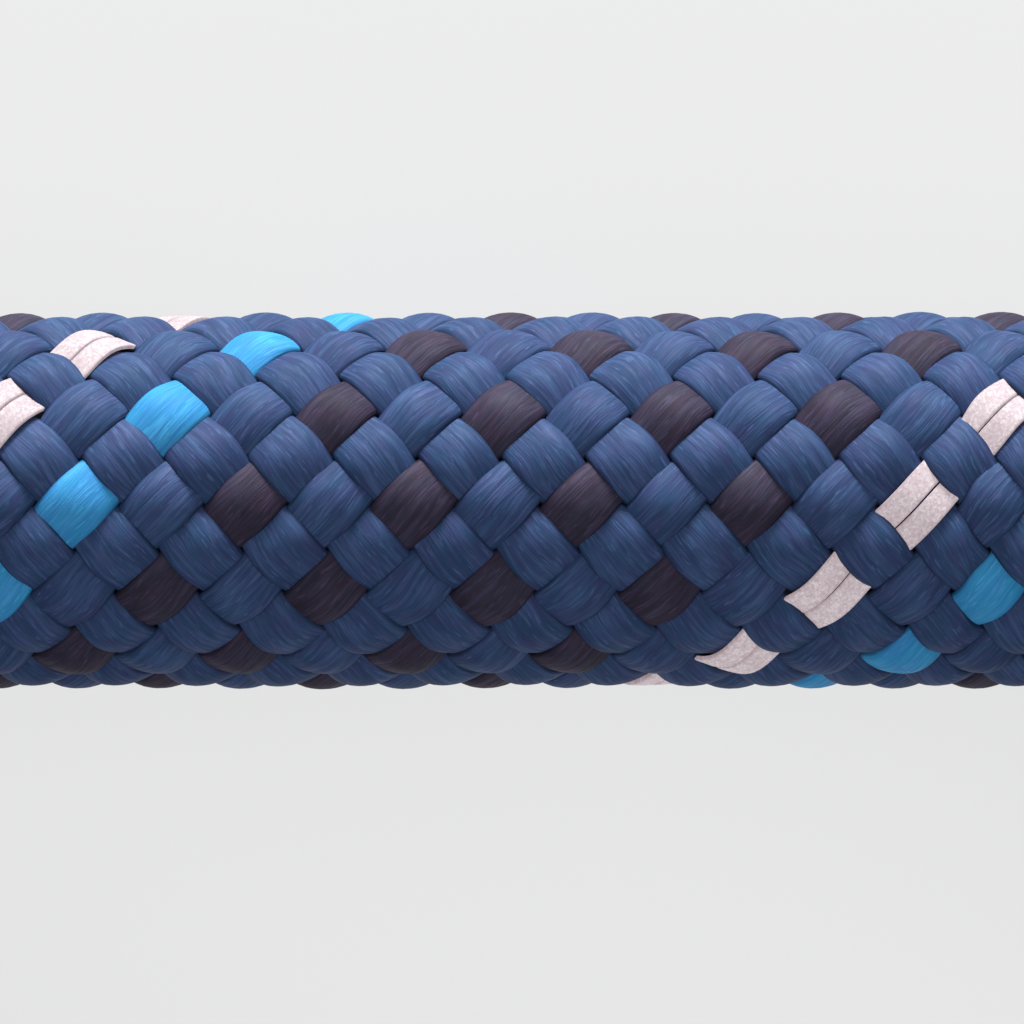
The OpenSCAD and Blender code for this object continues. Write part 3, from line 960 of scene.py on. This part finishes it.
def sliding_bolt():
    """The bolt: a spigot for the spring, a long plain bar and a rounded nose."""
    profile = np.array([
        (48.5, 0.02), (48.5, 1.3), (48.8, 1.6), (50.5, 1.6), (50.5, 2.9), (50.75, 3.15), (51, 3.18),
        *[(x, 3.18) for x in range(52, 84)],
        (83.5, 3.15), (83.9, 3.02), (84.2, 2.8), (84.4, 2.5), (84.5, 2.1), (84.5, 0.02),
    ]) * MM
    finish = turned_finish("bolt_bar", (0.40, 0.40, 0.41), (0.66, 0.65, 0.64), 0.2)
    turned("sliding_bolt", "bolt", round_solid(profile), finish, "bolt_steel", "bolt")


def thumb_button():
    """The knob: a neck, and a domed head with two grooves and a notched rim."""
    head = np.array([
        (0, 2.0), (6.6, 2.0), (6.75, 2.3), (6.85, 3.9), (7.05, 4.3), (7.4, 4.45), (8.1, 4.5),
        (8.8, 4.45), (9.2, 4.2), (9.4, 3.8), (9.46, 3.4), (9.28, 3.2), (9.28, 3.0), (9.52, 2.8),
        (9.6, 2.3), (9.44, 2.1), (9.44, 1.9), (9.66, 1.7), (9.74, 1.0), (9.76, 0.02),
    ]) * MM
    fine = np.linspace(0, len(head) - 1, 4 * len(head) - 3)
    rise, r = (np.interp(fine, range(len(head)), head[:, k])[:, None] for k in (0, 1))
    turn = np.linspace(0, 2 * math.pi, 120, endpoint=False)[None, :]
    rim = np.exp(-((rise - 8 * MM) / (0.7 * MM)) ** 2) * (r > 4 * MM)
    r = r * (1 - 0.03 * rim * (0.5 + 0.5 * np.cos(24 * turn)))
    rings = on_snap(KNOB_AT + r * np.cos(turn), rise, r * np.sin(turn))
    turned("thumb_button", "thumb_knob", rings, cast_finish("knob_metal"), "plated_casting", "bolt")


def coiled_spring():
    """The bolt's spring, with a closed turn at each end."""
    start, stop = BORE_START + SPRING_GAP, BOLT_SHOULDER - SPRING_GAP
    t = np.linspace(0, SPRING_TURNS, SPRING_TURNS * 40 + 1)
    wire_r = np.where((t == t[0]) | (t == t[-1]), 0.1, 1)[:, None] * SPRING_WIRE_R
    free = stop - start - 2 * SPRING_WIRE_R
    rises = [0, 2 * SPRING_WIRE_R, free - 2 * SPRING_WIRE_R, free]
    rise = np.interp(t, [0, 1, SPRING_TURNS - 1, SPRING_TURNS], rises)
    bend = 2 * math.pi * t[:, None]
    around = np.linspace(0, 2 * math.pi, 14, endpoint=False)[None, :]
    r = SPRING_R + wire_r * np.cos(around)
    along = start + SPRING_WIRE_R + rise[:, None] + wire_r * np.sin(around)
    finish = turned_finish("spring_wire", (0.20, 0.20, 0.21), (0.46, 0.46, 0.47), 0.3)
    rings = on_snap(along, r * np.cos(bend), r * np.sin(bend))
    made = turned("coiled_spring", "bolt_spring", rings, finish, "spring_steel", "snap")
    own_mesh(made)


cast_snap()
forged_eye()
crimped_ferrule()
sliding_bolt()
thumb_button()
coiled_spring()
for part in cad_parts["swivel_washer"].material_slots:
    part.material = turned_finish("washer_brass", (0.48, 0.34, 0.13), (0.74, 0.56, 0.26), 0.26)
